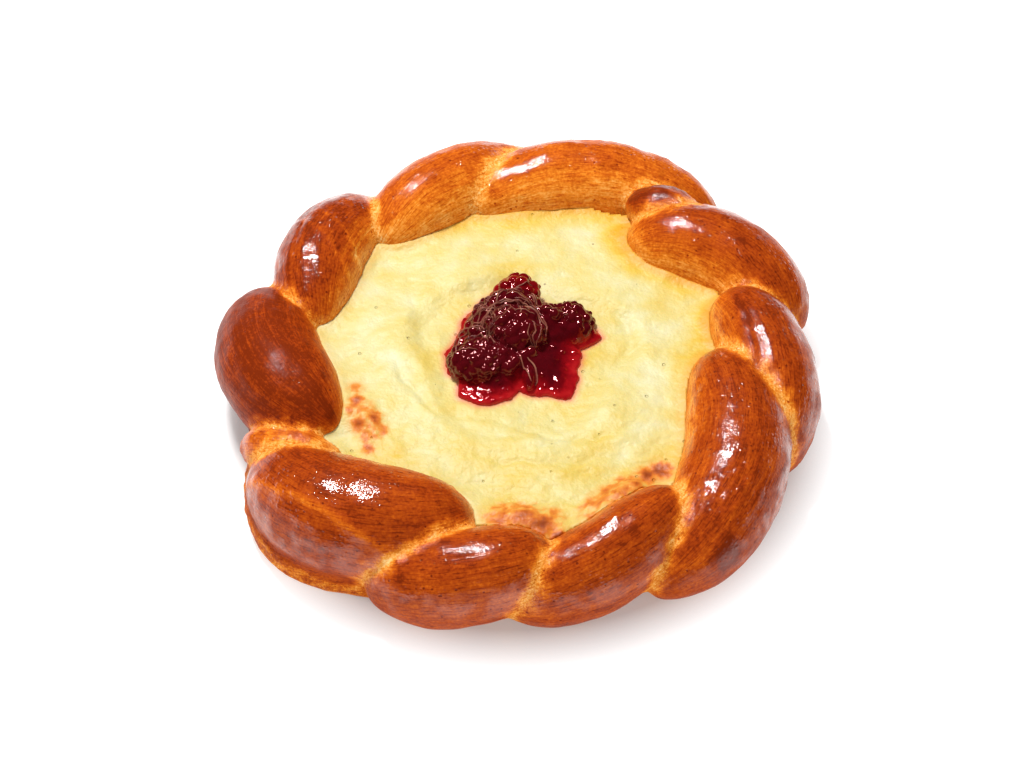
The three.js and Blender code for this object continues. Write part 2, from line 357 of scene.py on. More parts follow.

# %% [markdown]
# ## Where each point of the crust lies on its roll
# The oven browns a roll by its place: the crest is dark, and a crease is pale, because the neighbour covered
# it.
# The flank that faces the curd stays orange, partly from the oven and partly as painted light for the
# window's shade that lies on it. Fine streaks run along each roll, where the dough was stretched. So each
# vertex learns which roll it belongs to, how far along and around that roll it lies, and how far the next
# roll is. The kept roll shapes answer this with nearest point searches.

# %% Crust coordinates
STEPS = 64
# the back and back_left rolls are set paler partly as painted light, which lifts their curd-facing flanks out
# of the window's shade
BROWNED = {
    "left": 0.2, "front_left": 0.07, "front": 0.03, "front_right": 0.05, "right_front": 0.05, "right": 0.05,
    "right_back": 0.02, "back": -0.17, "back_left": -0.19, "left_back": 0.13, "tuck": 0.36,
    "web_left": -0.12, "bump_left": -0.6, "bump_front": -0.3, "bump_right": -0.45}
MARKS = (  # lines seen on the crust, from the bun's axis: path, width, how much browner, how far raised
    (((-56, -34), (-49, -41), (-40.8, -47), (-33, -52.5), (-26, -56)), 0.8, -0.3, 0.3),
    (((45.5, 11), (47.5, 4), (48.7, -3), (49.3, -9.5)), 0.5, 0.3, -0.35),
    (((37, -42), (35.5, -48), (36.5, -55)), 0.5, -0.12, 0.2),
    (((46.5, -31), (45.5, -40), (41, -49)), 0.45, -0.1, 0.2),
    (((17, -50), (27, -45), (35, -37)), 0.45, -0.15, 0.15),
    (((-48, 33), (-42, 27), (-38, 20)), 0.5, -0.18, 0.16),
    (((-44, 35.5), (-38, 29), (-34, 22)), 0.45, -0.18, 0.14),
)
SPOTS = (  # dark blisters and a bruise: x, y, size and how much browner
    (43.7, -54.6, 3.4, 0.3), (41.5, -51, 1.2, 0.3), (39.5, -52.5, 0.9, 0.3), (-43, -15.9, 1.3, 0.35),
    (-39.4, -19.3, 1.5, 0.35), (-41.5, -12, 0.9, 0.3), (-47.5, -22, 0.9, 0.3), (-15, -54, 1.2, 0.3),
    (-24, -60, 1.0, 0.25), (5, -53, 0.9, 0.25), (22, -52, 1.0, 0.25), (-55, -20, 1.1, 0.2),
    (48, 26, 1.0, 0.25))
DENTS = ((42, -41, 5.5), (-46, -26, 4.5))  # dimpled places: x, y, size
EGG_WASHED = {"left": 0.12, "bump_left": 0.3, "bump_front": 0.5}  # rolls that the egg brush hardly touched
FAR = 12.0  # mm; what lies further apart doesn't touch


def roll_frames(turn):
    """Places, directions and lengths at even steps along a turn's middle line, in mm."""
    places = np.array([centre_line(turn, k / STEPS) / MM for k in range(STEPS + 1)])
    ahead = np.gradient(places, axis=0)
    ahead /= np.linalg.norm(ahead, axis=1)[:, None]
    side = np.cross([0.0, 0.0, 1.0], ahead)
    side /= np.linalg.norm(side, axis=1)[:, None]
    run = np.concatenate([[0], np.cumsum(np.linalg.norm(np.diff(places, axis=0), axis=1))])
    return places, ahead, side, np.cross(ahead, side), run


def vertex_array(mesh, what):
    """The places or the normals of all vertices, as rows of three."""
    values = np.empty(len(mesh.vertices) * 3, np.float32)
    mesh.vertices.foreach_get(what, values)
    return values.reshape(-1, 3).astype(float)


def keep_values(mesh, name, values):
    """Stores one number, or a vector, for each vertex."""
    kind = "FLOAT" if values.ndim == 1 else "FLOAT_VECTOR"
    layer = mesh.attributes.new(name, kind, "POINT")
    layer.data.foreach_set("value" if kind == "FLOAT" else "vector", values.astype(np.float32).ravel())


def ease(values, low, high):
    """0 below low, 1 above high, and a smooth rise between them."""
    t = np.clip((values - low) / (high - low), 0, 1)
    return t * t * (3 - 2 * t)


def noise_at(points, size, seed=0.0):
    """Soft noise from about -1 to 1 at many places. size is in the same unit as the places."""
    shift = Vector((seed * 13.7, seed * 7.3, seed * 3.1))
    return np.array([noise.noise(Vector(p) / size + shift) for p in points])


names = list(roll_shapes)
corners = [(roll_box.min(axis=0) - 6 * MM, roll_box.max(axis=0) + 6 * MM)
           for roll_box in (np.array(roll_points[name]) for name in names)]
places = vertex_array(crust.data, "co")
count = len(places)
own, reach, crease = np.full(count, -1), np.full(count, FAR), np.full(count, FAR)
for i, place in enumerate(places):
    found = []
    for k, (low, high) in enumerate(corners):
        if low[0] < place[0] < high[0] and low[1] < place[1] < high[1] and low[2] < place[2] < high[2]:
            gap = roll_shapes[names[k]].find_nearest(Vector(place), FAR * MM)[3]
            if gap is not None:
                found.append((gap / MM, k))
    found.sort()
    if found:
        reach[i], own[i] = found[0]
    if len(found) > 1:
        crease[i] = found[1][0]
strand = np.zeros((count, 3))
for k, name in enumerate(names):
    mine = np.nonzero(own == k)[0]
    middle, ahead, side, up, run = roll_frames(TURNS[name])
    mine_mm = places[mine] / MM
    step = np.argmin(((mine_mm[:, None, :] - middle[None, :, :]) ** 2).sum(axis=2), axis=1)
    off = mine_mm - middle[step]
    strand[mine, 0] = run[step] + (off * ahead[step]).sum(axis=1)
    round_it = np.arctan2((off * side[step]).sum(axis=1), (off * up[step]).sum(axis=1))
    strand[mine, 1] = round_it * TURNS[name]["wide"] / 2
    strand[mine, 2] = 40.0 * (k + 1)
plain = ease(reach, 0.5, 1.6)  # 1 on the base and the wall, away from every roll
print("vertices nearest to each roll:", {name: int((own == k).sum()) for k, name in enumerate(names)})

# %% [markdown]
# ## Small relief of the crust
# Rising and baking leave soft swells, long stretch lines, a few blisters and a ragged skirt. They are real
# shape here, not only a shaded bump, because the outline and the gloss show them. Each vertex moves a
# little along its normal by seeded noise that is read in the roll's own coordinates, so the lines follow
# the twist.

# %% Displace the crust
STRETCHED = {"left_back": 1.0, "left": 0.45, "front_left": 0.6, "front": 0.45, "front_right": 0.35,
             "right_front": 0.7, "right": 0.6, "right_back": 0.4, "back": 0.5, "back_left": 0.55}
BLISTERS, BLISTER_SEED = 170, 5


def per_roll(values, unlisted, no_roll):
    """One value for each vertex, by the roll it belongs to."""
    return np.array([values.get(names[k], unlisted) if k >= 0 else no_roll for k in own])


normals = vertex_array(crust.data, "normal")
mm = places / MM
above_table = ease(mm[:, 2], 0.6, 3.5)
lines = noise_at(strand * (1 / 26, 1 / 2.4, 1.0), 1.0)
stretch = np.exp(-(lines / 0.055) ** 2) * per_roll(STRETCHED, 0, 0)
stretch *= ease(noise_at(mm, 7, 4), -0.25, 0.25) * ease(crease, 0.8, 3)
# heights in mm: soft swells, ridges along a roll, the ragged base and wall, the knobbly small rolls, and torn
# strands where two rolls part
swells = 0.38 * noise_at(mm, 9, 1) + 0.16 * noise_at(mm, 3.6, 2)
ridges = 0.10 * noise_at(strand * (1 / 14, 1 / 2.2, 1.0), 1.0, 3)
crumbs = plain * (0.35 * noise_at(mm, 2.2, 6) + 0.25 * noise_at(mm, 1.0, 7))
small = [names.index(name) for name in BUMPS + ("tuck", "web_left")]
bumpy = np.isin(own, small) * 0.22 * noise_at(mm, 1.7, 8)
torn = (1 - ease(crease, 0.6, 2.4)) * (0.22 * noise_at(mm, 1.1, 13) + 0.16 * noise_at(mm, 0.7, 14))


def path_gap(x, y, path):
    """How far places lie from a line seen from above, in mm."""
    gap = np.full(len(x), 99.0)
    for (x0, y0), (x1, y1) in zip(path, path[1:]):
        run = np.array([x1 - x0, y1 - y0])
        t = np.clip(((x - x0) * run[0] + (y - y0) * run[1]) / (run @ run), 0, 1)
        gap = np.minimum(gap, np.hypot(x - x0 - t * run[0], y - y0 - t * run[1]))
    return gap


flat_x, flat_y = (mm[:, :2] - np.array(AXIS.xy) / MM).T
on_top = ease(mm[:, 2], 4, 8) * ease(normals[:, 2], -0.1, 0.3)
waver = 0.5 * noise_at(mm, 3, 18)
mark_brown, mark_rise = np.zeros(count), np.zeros(count)
for path, wide, browner, rise in MARKS:
    line_share = np.exp(-((path_gap(flat_x, flat_y, path) + waver) / wide) ** 2) * on_top
    mark_brown += browner * line_share
    mark_rise += rise * line_share
for x, y, size, browner in SPOTS:
    spot_share = np.exp(-((flat_x - x) ** 2 + (flat_y - y) ** 2) / size ** 2) * on_top
    mark_brown += browner * spot_share
    mark_rise += 0.15 * spot_share * (size < 2)
for x, y, size in DENTS:
    dent_share = np.exp(-(((flat_x - x) ** 2 + (flat_y - y) ** 2) / size ** 2) ** 2) * on_top
    mark_rise += 0.45 * dent_share * noise_at(mm, 1.5, 19)

move = mark_rise + (swells + ridges - 0.16 * stretch + crumbs + bumpy + torn) * above_table

dice = np.random.default_rng(BLISTER_SEED)
tops = np.nonzero((normals[:, 2] > 0.15) & (crease > 3) & (plain < 0.1))[0]
for centre in dice.choice(tops, BLISTERS, replace=False):
    size, height = dice.uniform(0.7, 1.5), dice.uniform(0.08, 0.26)
    close = np.nonzero(np.abs(mm - mm[centre]).max(axis=1) < size)[0]
    away = np.linalg.norm(mm[close] - mm[centre], axis=1) / size
    move[close] += height * (1 - ease(away, 0, 1))
moved = places + normals * move[:, None] * MM
moved[:, 2] = np.maximum(moved[:, 2], 0)
crust.data.vertices.foreach_set("co", moved.astype(np.float32).ravel())
crust.data.update()
print("relief in mm from", round(move.min(), 2), "to", round(move.max(), 2))

# %% [markdown]
# ## How brown the crust is
# One number for each vertex, from 0, pale dough, to 1, dark crest. It grows with how much a place faces up
# or out, falls where two rolls meet and near the table, and differs from roll to roll, as in any oven. A
# flank that faces the curd, and the two back rolls, are made paler, partly as painted light against the
# window's shade.
# Blotches come from noise. The egg brush reached the upper half of the rolls, here more and there less,
# which is a second number. The material turns both into colour and gloss.

# %% Browning
normals = vertex_array(crust.data, "normal")
outward = mm[:, :2] - np.array(AXIS.xy) / MM
radius = np.linalg.norm(outward, axis=1)
outward /= radius[:, None]
facing_out = (normals[:, :2] * outward).sum(axis=1)
crest = ease(normals[:, 2], 0.0, 0.85)
outer = ease(facing_out, -0.1, 0.7) * ease(mm[:, 2], 0.5, 5.0)
roll_brown = per_roll(BROWNED, 0, -0.2)
blotch = 0.07 * noise_at(mm, 8, 9) + 0.05 * noise_at(mm, 2.6, 10)
warped_crease = crease + 1.6 * noise_at(mm, 3.0, 11) + 0.6 * noise_at(mm, 0.9, 12)
brown = 0.16 + 0.61 * np.maximum(crest, 0.92 * outer) + roll_brown + blotch
# painted light, in part: flanks that face the curd are made paler, both as the oven left them and to lift
# them out of the window's shade
brown -= 0.16 * ease(-facing_out, 0.1, 0.75)
brown *= 0.3 + 0.7 * ease(warped_crease, 0.2, 3.2)
brown = np.maximum(brown, 0.22 + 0.1 * ease(warped_crease, 0.5, 3)) + mark_brown
brown = brown * (1 - plain) + plain * (0.46 + 0.3 * noise_at(mm, 1.8, 16))
underside = ease(-normals[:, 2], 0.2, 0.9) * (mm[:, 2] < 2.5)
brown = brown * (1 - underside) + underside * (0.42 + blotch)
keep_values(crust.data, "brown", np.clip(brown, 0, 1))
keep_values(crust.data, "crease", crease / FAR)
keep_values(crust.data, "stretch", stretch)
keep_values(crust.data, "plain", plain)
washed = per_roll(EGG_WASHED, 1.0, 0.0) * ease(mm[:, 2], 8, 16)
washed *= 0.3 + 0.7 * ease(noise_at(mm, 5, 20) + 0.5 * noise_at(mm, 2, 21), -0.3, 0.2)
keep_values(crust.data, "washed", washed * (1 - plain))
keep_values(crust.data, "strand", strand * MM)
print("mean browning:", round(float(brown.mean()), 2))

# %% [markdown]
# ## Small helpers for materials
# A material is a tree of nodes. These helpers add a node with its sockets filled, do sums, mix colours and
# make a ramp, so that each tree below reads like a recipe.

# %% Node helpers


def filled(tree, node, inputs):
    """Fills a node's inputs. Each is a plain value or another node's output."""
    for key, value in inputs.items():
        if isinstance(value, bpy.types.NodeSocket):
            tree.links.new(value, node.inputs[key])
        else:
            node.inputs[key].default_value = value
    return node


def make(tree, kind, inputs=None, **settings):
    """Adds a node with its settings and inputs."""
    node = tree.nodes.new("ShaderNode" + kind)
    for key, value in settings.items():
        setattr(node, key, value)
    return filled(tree, node, inputs or {})


def sums(tree, operation, a, b=0.0, clamp=False):
    """One sum of two values."""
    return make(tree, "Math", {0: a, 1: b}, operation=operation, use_clamp=clamp).outputs[0]


def total(tree, *parts, clamp=False):
    """Adds up several values. With clamp, the total stays between 0 and 1."""
    value = parts[0]
    for k, part in enumerate(parts[1:], 2):
        value = sums(tree, "ADD", value, part, clamp and k == len(parts))
    return value


def times(tree, value, factor):
    """Multiplies two values."""
    return sums(tree, "MULTIPLY", value, factor)


def remap(tree, value, low, high, to_low=0.0, to_high=1.0):
    """Moves a value from one range to another, and keeps it inside of that."""
    ends = {"Value": value, "From Min": low, "From Max": high, "To Min": to_low, "To Max": to_high}
    return make(tree, "MapRange", ends, clamp=True).outputs["Result"]


def swing(tree, value, size):
    """Soft noise, moved to the range from -size to size."""
    return remap(tree, value, 0.3, 0.7, -size, size)


def mix(tree, share, a, b):
    """Mixes two colours. The share is that of the second."""
    return make(tree, "Mix", {0: share, 6: a, 7: b}, data_type="RGBA").outputs[2]


def ramp(tree, value, stops):
    """A colour ramp. Each stop is a place and a colour as it looks on a screen, 0 to 255."""
    node = make(tree, "ValToRGB", {"Fac": value})
    elements = node.color_ramp.elements
    while len(elements) < len(stops):
        elements.new(0.5)
    for element, (place, colour) in zip(elements, stops):
        element.position = place
        element.color = screen_colour(*colour)
    return node.outputs["Color"]


def screen_colour(*levels):
    """A colour in screen levels, as the linear values that a shader reads."""
    return (*((v / 255 / 12.92) if v < 10.3 else ((v / 255 + 0.055) / 1.055) ** 2.4 for v in levels), 1.0)


def named(tree, name, output="Fac"):
    """A value that was kept for each vertex."""
    return make(tree, "Attribute", attribute_name=name).outputs[output]


def material(name):
    """A new material, its tree and its Principled shader."""
    look = bpy.data.materials.new(name)
    look.use_nodes = True
    return look, look.node_tree, look.node_tree.nodes["Principled BSDF"]


def set_all_over(shader, **values):
    """Sets the shader's own sockets, for what is the same all over the piece."""
    for label, value in values.items():
        shader.inputs[label.replace("_", " ")].default_value = value


def group(name, inputs, outputs):
    """A shader node group with named sockets. Inputs are name: (kind, default), outputs are name: kind."""
    tree = bpy.data.node_groups.new(name, "ShaderNodeTree")
    for label, (kind, default) in inputs.items():
        socket = tree.interface.new_socket(label, in_out="INPUT", socket_type="NodeSocket" + kind)
        if default is not None:
            socket.default_value = default
    for label, kind in outputs.items():
        tree.interface.new_socket(label, in_out="OUTPUT", socket_type="NodeSocket" + kind)
    return tree, tree.nodes.new("NodeGroupInput"), tree.nodes.new("NodeGroupOutput")


def placed(tree, node_group, inputs):
    """Puts a node group in a tree, with its inputs filled."""
    node = tree.nodes.new("ShaderNodeGroup")
    node.node_tree = node_group
    return filled(tree, node, inputs)


def texture(tree, place, scale, detail, rough=0.5):
    """Soft noise from 0 to 1. scale is in steps to the metre."""
    inputs = {"Vector": place, "Scale": scale, "Detail": detail, "Roughness": rough}
    return make(tree, "TexNoise", inputs).outputs["Fac"]


def dotted(tree, place, spacing, size, share):
    """A mask of dots: how far apart their cells are, their size, and the share of cells with one."""
    inputs = {"Vector": place, "Spacing": spacing, "Size": size, "Share": share}
    return placed(tree, specks, inputs).outputs["Mask"]


def bumped(tree, height, strength, distance):
    """A normal that is tilted by a height."""
    inputs = {"Height": height, "Strength": strength, "Distance": distance}
    return make(tree, "Bump", inputs).outputs["Normal"]


def give_look(piece, look):
    """Smooth shading and one material."""
    activate(piece)
    bpy.ops.object.shade_smooth()
    piece.data.materials.clear()
    piece.data.materials.append(look)


# %% [markdown]
# ## Specks and grain, shared by crust, curd and jam
# Crust, curd and jam all have tiny dots: pores in the crust, specks and bubbles in the curd, seeds in the
# jam. They also all have a fine unevenness that breaks up the gloss. Each is a node group, built once. The
# first gives dots of one size that are thinned out at random. The second gives noise of two sizes as a
# height and as a mask.

# %% The shared groups
specks, given, gives = group(
    "specks",
    {"Vector": ("Vector", None), "Spacing": ("Float", 0.003), "Size": ("Float", 0.1),
     "Share": ("Float", 0.5)},
    {"Mask": "Float"})
per_metre = sums(specks, "DIVIDE", 1.0, given.outputs["Spacing"])
cells = make(specks, "TexVoronoi", {"Vector": given.outputs["Vector"], "Scale": per_metre})
dot_size = given.outputs["Size"]
dot = remap(specks, cells.outputs["Distance"], times(specks, dot_size, 1.3), times(specks, dot_size, 0.7))
pick = make(specks, "SeparateColor", {"Color": cells.outputs["Color"]}).outputs["Red"]
chosen = sums(specks, "LESS_THAN", pick, given.outputs["Share"])
specks.links.new(times(specks, dot, chosen), gives.inputs["Mask"])

grain, given, gives = group(
    "grain",
    {"Vector": ("Vector", None), "Coarse": ("Float", 0.003), "Fine": ("Float", 0.0006),
     "Fine share": ("Float", 0.4)},
    {"Height": "Float", "Blotch": "Float"})
coarse = texture(grain, given.outputs["Vector"], sums(grain, "DIVIDE", 1.0, given.outputs["Coarse"]), 3.0)
fine = texture(grain, given.outputs["Vector"], sums(grain, "DIVIDE", 1.0, given.outputs["Fine"]), 2.0)
fine_part = times(grain, fine, given.outputs["Fine share"])
grain.links.new(total(grain, coarse, fine_part), gives.inputs["Height"])
grain.links.new(coarse, gives.inputs["Blotch"])
print("groups:", specks.name, grain.name)

# %% [markdown]
# ## The crust's finish
# The dough was brushed with egg, so the crust is glossy where it is brown, with a clear coat over it, and
# dull where it is pale. Its colour runs from pale gold in the creases over orange to a reddish brown on the
# crests. Streaks along each roll, small dark pores and light stretch lines lie over that. The streaks read
# the roll's own coordinates, so that they follow the twist.

# %% Crust material
crust_look, tree, shader = material("crust")
strand_place = named(tree, "strand", "Vector")
body_place = make(tree, "TexCoord").outputs["Object"]


def stretched(short):
    """The roll's own coordinates, shortened along the roll, so that noise in them becomes streaks."""
    inputs = {0: strand_place, 1: (short, 1.0, 1.0)}
    return make(tree, "VectorMath", inputs, operation="MULTIPLY").outputs["Vector"]


streak = texture(tree, stretched(0.09), 1500.0, 4.0, 0.6)
streak_wide = texture(tree, stretched(0.09), 330.0, 3.0)
dashes = texture(tree, stretched(0.14), 3200.0, 2.0)
fine = texture(tree, body_place, 1700.0, 3.0)
crumb = texture(tree, body_place, 2300.0, 4.0, 0.7)
skin = placed(tree, grain, {"Vector": body_place, "Coarse": 0.0028, "Fine": 0.0005, "Fine share": 0.35})
pimples = dotted(tree, body_place, 0.0011, 0.28, 0.6)
pores = dotted(tree, body_place, 0.0017, 0.14, 0.4)
brown_level = named(tree, "brown")
in_crease = remap(tree, named(tree, "crease"), 0.06, 0.24, 1.0, 0.0)
torn_zone = sums(tree, "MAXIMUM", named(tree, "plain"), in_crease)
shade = total(
    tree, brown_level,
    swing(tree, streak, 0.1),
    swing(tree, streak_wide, 0.06),
    swing(tree, skin.outputs["Blotch"], 0.06),
    times(tree, named(tree, "stretch"), -0.16),
    swing(tree, fine, 0.1),
    remap(tree, dashes, 0.54, 0.68, 0.0, 0.22),
    times(tree, pores, 0.36),
    times(tree, torn_zone, remap(tree, crumb, 0.35, 0.65, -0.16, 0.14)), clamp=True)
colour = ramp(tree, shade, [
    (0.0, (246, 200, 132)), (0.16, (242, 168, 78)), (0.34, (222, 128, 34)), (0.52, (194, 92, 18)),
    (0.70, (166, 68, 12)), (0.86, (143, 51, 9)), (1.0, (112, 36, 6))])
glazed = remap(tree, brown_level, 0.2, 0.36)
tree.links.new(colour, shader.inputs["Base Color"])
tree.links.new(remap(tree, total(tree, glazed, streak), 0.4, 1.6, 0.62, 0.36), shader.inputs["Roughness"])
tree.links.new(times(tree, glazed, named(tree, "washed")), shader.inputs["Coat Weight"])
set_all_over(shader, Coat_Roughness=0.05, Coat_IOR=1.5, Specular_IOR_Level=0.03)
height = total(tree, skin.outputs["Height"], times(tree, streak, 0.55), times(tree, pores, -0.5),
               times(tree, times(tree, torn_zone, crumb), 3.0))
tree.links.new(bumped(tree, height, 0.5, 0.0003), shader.inputs["Normal"])
glaze = total(tree, height, times(tree, fine, 0.9), times(tree, dashes, 0.35), times(tree, pimples, 0.9))
tree.links.new(bumped(tree, glaze, 0.36, 0.00022), shader.inputs["Coat Normal"])

give_look(crust, crust_look)
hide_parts("dough")
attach(crust, "root")
print("crust:", len(crust.data.polygons), "faces, one material")

# %% [markdown]
# ## Where the jam lies
# The jam was spooned on the middle and ran out a little before it set, so its edge has tongues and notches.
# How far it reaches from its own middle is listed every 12 degrees, and small noise makes the edge ragged.
# The curd needs this outline too, because the jam stains it.

# %% The jam's outline
JAM = dict(x=-1.5, y=1.5, middle=3.1, edge=0.8)
JAM_REACH = (14.8, 19.8, 18.4, 16.8, 16.2, 15.5, 16.5, 19.4, 18.8, 16.4, 15.4, 15.2, 14.6, 13.1, 13.4,
             14.5, 14.9, 15.6, 15.0, 17.6, 17.2, 16.4, 14.0, 11.8, 13.4, 14.8, 17.9, 16.5, 15.2, 14.7)


def jam_gap(x, y):
    """How far places, in mm from the bun's axis, lie outside the jam's edge. Inside it is less than 0."""
    x, y = np.asarray(x, float) - JAM["x"], np.asarray(y, float) - JAM["y"]
    turn = np.degrees(np.arctan2(y, x)) % 360
    reach = np.interp(turn, np.arange(0, 361, 12), JAM_REACH + JAM_REACH[:1])
    for k, size in ((5, 0.22), (9, 0.16), (17, 0.16), (29, 0.1)):
        reach = reach + size * np.sin(np.radians(turn) * k + k)
    return np.hypot(x, y) - reach


print("jam reaches from", min(JAM_REACH), "to", max(JAM_REACH), "mm from its middle")

# %% [markdown]
# ## The curd
# The filling is soft curd that was spooned in and baked: nearly level, a little higher next to the rope,
# with a shallow dish in the middle, soft folds in front and many small waves. Three bumps of dough stand in
# it, with a thin skin of curd over them. A fine grid is cut to the round pocket, each of its points is
# lifted to the curd's height there, and its rim is extruded down and closed. At last the crust is cut out
# of it, so that the two meet exactly, seen from any side.

# %% The curd's height
CURD = dict(level=15.2, crown=1.2, crown_from=20, dish=1.0, dish_radius=25, fold=5)
CURD_SWELL = dict(height=0.35, long=(6, 7), short=(4, 5))
AT_ROPE = dict(rise=0.9, fade=2.0)  # how the curd climbs where it meets the rope, in mm
AT_BUMP = dict(rise=1.0, fade=1.8, crumbs=1.2)
BUMP_SKIN = 0.3  # how thick the curd lies over a bump, in mm


def smooth_step(value, low, high):
    """The same as ease, for one number."""
    t = min(1, max(0, (value - low) / (high - low)))
    return t * t * (3 - 2 * t)


def plain_curd(x, y):
    """The height of the curd's top in mm, at a place in mm from the bun's axis, without its small relief."""
    radius, angle = math.hypot(x, y), math.atan2(y, x)
    dish_end = CURD["dish_radius"] * (1 + 0.08 * math.sin(3 * angle + 0.6) + 0.05 * math.sin(5 * angle))
    dish = CURD["dish"] * (1 - smooth_step(radius, dish_end - CURD["fold"], dish_end))
    crown = CURD["crown"] * (1 - smooth_step(radius, CURD["crown_from"], POCKET["radius"]))
    (long_x, long_y), (short_x, short_y) = CURD_SWELL["long"], CURD_SWELL["short"]
    waves = math.sin(x / long_x + 0.4) * math.sin(y / long_y + 1.1) + math.sin(x / short_x + y / short_y) / 2
    return CURD["level"] + crown - dish + CURD_SWELL["height"] * waves


FOLDS = (  # lines on the curd, from the bun's axis: how much higher its right side is, and the groove in it
    dict(path=((-27, -2), (-25.4, -6.2), (-18.8, -14.6), (-17.3, -18.4)), step=0.45, groove=0.4, wide=0.9),
    dict(path=((-14.5, -16.5), (-5.1, -18.4), (1.3, -21.2), (7.7, -23.5), (16.3, -23.2), (26.1, -19.2)),
         step=0.5, groove=0.3, wide=1.0),
    dict(path=((-23.7, 23), (-22.9, 16), (-20.1, 7), (-20.5, 2)), step=0.0, groove=0.5, wide=2.0),
    dict(path=((-6.6, -39.9), (2, -40.4), (10.9, -39.3)), step=0.25, groove=0.35, wide=0.4),
    dict(path=((14, 19), (20, 14), (23, 6), (24, -4)), step=0.2, groove=0.25, wide=1.6),
    dict(path=((-12, -27), (-2, -29.5), (10, -30), (22, -27)), step=0.3, groove=0.25, wide=0.9),
)


def fold_relief(x, y):
    """How much the folds raise or lower the curd at a place, in mm."""
    place, rise = Vector((x, y)), 0.0
    for fold in FOLDS:
        nearest, side, share = 9.0, 1.0, 0.0
        parts = list(zip(fold["path"], fold["path"][1:]))
        for k, (start, end) in enumerate(parts):
            start, line = Vector(start), Vector(end) - Vector(start)
            t = min(1, max(0, (place - start).dot(line) / line.length_squared))
            off = place - start - line * t
            if off.length < nearest:
                nearest, share = off.length, (k + t) / len(parts)
                side = 1.0 if line.x * off.y - line.y * off.x < 0 else -1.0
        fade = math.sin(math.pi * min(1, max(0, share))) ** 0.5
        rise -= fold["groove"] * fade * math.exp(-(nearest / fold["wide"]) ** 2)
        rise += fold["step"] * fade * (side > 0) * (1 - math.exp(-nearest / 0.8)) * math.exp(-nearest / 5)
    return rise


def over_bump(x, y, height):
    """The curd's height where it lies as a thin skin over a bump of dough."""
    above = AXIS + Vector((x, y, 40)) * MM
    tops = [shape.ray_cast(above, Vector((0, 0, -1)))[0] for shape in bump_shapes]
    top = max((hit.z / MM for hit in tops if hit), default=0)
    if not top:
        return height
    found = crust_shape.ray_cast(above, Vector((0, 0, -1)))[0]
    if found and found.z / MM < top + 0.9:
        top = max(top, found.z / MM)
    top += BUMP_SKIN
    meet = max(0, 1.2 - abs(top - height)) / 1.2
    return max(top, height) + 0.3 * meet ** 2


def pocket_radius(angle):
    """How far the curd reaches from the axis at an angle, in mm."""
    return POCKET["radius"] + sum(reach * near(angle, at, width) for at, reach, width in POCKET_SPILLS)


# %% The curd's mesh
CURD_SIDE, CURD_GRID = 104, 0.5
UNDER_CURD = 0.3  # air between the curd and the dough below it, in mm


def cut_sheet(name, side, cell, middle, outside):
    """A flat square grid of small cells. Its vertices that lie outside an outline are deleted."""
    deselect()
    cells = int(side / cell)
    bpy.ops.mesh.primitive_grid_add(
        x_subdivisions=cells, y_subdivisions=cells, size=side * MM, location=middle)
    sheet = bpy.context.object
    sheet.name = sheet.data.name = name
    bpy.ops.object.transform_apply(location=True)
    select_vertices(sheet, outside)
    bpy.ops.mesh.delete(type="VERT")
    bpy.ops.object.mode_set(mode="OBJECT")
    return sheet


def close_below(sheet, low):
    """Extrudes a sheet's rim down to one height in mm and closes it there."""
    bpy.ops.object.mode_set(mode="EDIT")
    bpy.ops.mesh.select_mode(type="EDGE")
    bpy.ops.mesh.select_all(action="DESELECT")
    bpy.ops.mesh.select_non_manifold(
        use_wire=False, use_multi_face=False, use_non_contiguous=False, use_verts=False)
    bpy.ops.mesh.extrude_region_move(TRANSFORM_OT_translate={"value": (0, 0, -2 * MM)})
    bpy.ops.transform.resize(value=(1, 1, 0), center_override=(0, 0, low * MM))
    bpy.ops.mesh.edge_face_add()
    finish_block(sheet)


def nearest_gap(place, shapes, far):
    """How far a place is from the nearest of some shapes, and far at most. All in metres."""
    return min(shape.find_nearest(place, far)[3] or far for shape in shapes)


def soft_noise(x, y, z):
    """Soft noise at a place, from about -1 to 1."""
    return noise.noise(Vector((x, y, z)))


crust_shape = shape_of(crust)
rope_shapes = [shape for name, shape in roll_shapes.items() if name not in BUMPS]
bump_shapes = [roll_shapes[name] for name in BUMPS]
curd = cut_sheet("filling", CURD_SIDE, CURD_GRID, AXIS,
                 lambda place: (place - AXIS).xy.length / MM > pocket_radius(angle_of(place)))
for v in curd.data.vertices:
    x, y = (v.co - AXIS).xy / MM
    height = plain_curd(x, y)
    spot = Vector((v.co.x, v.co.y, height * MM))
    height += AT_ROPE["rise"] * math.exp(-nearest_gap(spot, rope_shapes, 9 * MM) / MM / AT_ROPE["fade"])
    gap = nearest_gap(spot, bump_shapes, 9 * MM) / MM
    height += AT_BUMP["rise"] * math.exp(-gap / AT_BUMP["fade"])
    height = over_bump(x, y, height)
    crumbly = 0.3 * soft_noise(x / 1.5, y / 1.5, 21) + 0.2 * noise.noise(Vector((x, y, 22)) / 0.9)
    height += math.exp(-gap / AT_BUMP["crumbs"]) * crumbly
    wander = Vector((x + 1.2 * soft_noise(x / 4, y / 4, 1), y + 1.4 * soft_noise(x / 4, y / 4, 2)))
    height += fold_relief(*wander)
    height += 0.26 * soft_noise(x / 5, y / 4, 3) + 0.10 * soft_noise(x / 1.8, y / 1.5, 8)
    height += 0.18 * smooth_step(-y, 12, 24) * soft_noise(x / 4.5, wander.y / 1.3, 14)
    v.co.z = height * MM
close_below(curd, BASE["thickness"] + UNDER_CURD)
apply_modifier(curd, "BOOLEAN", operation="DIFFERENCE", solver="MANIFOLD", object=crust)
print("curd:", len(curd.data.vertices), "vertices")
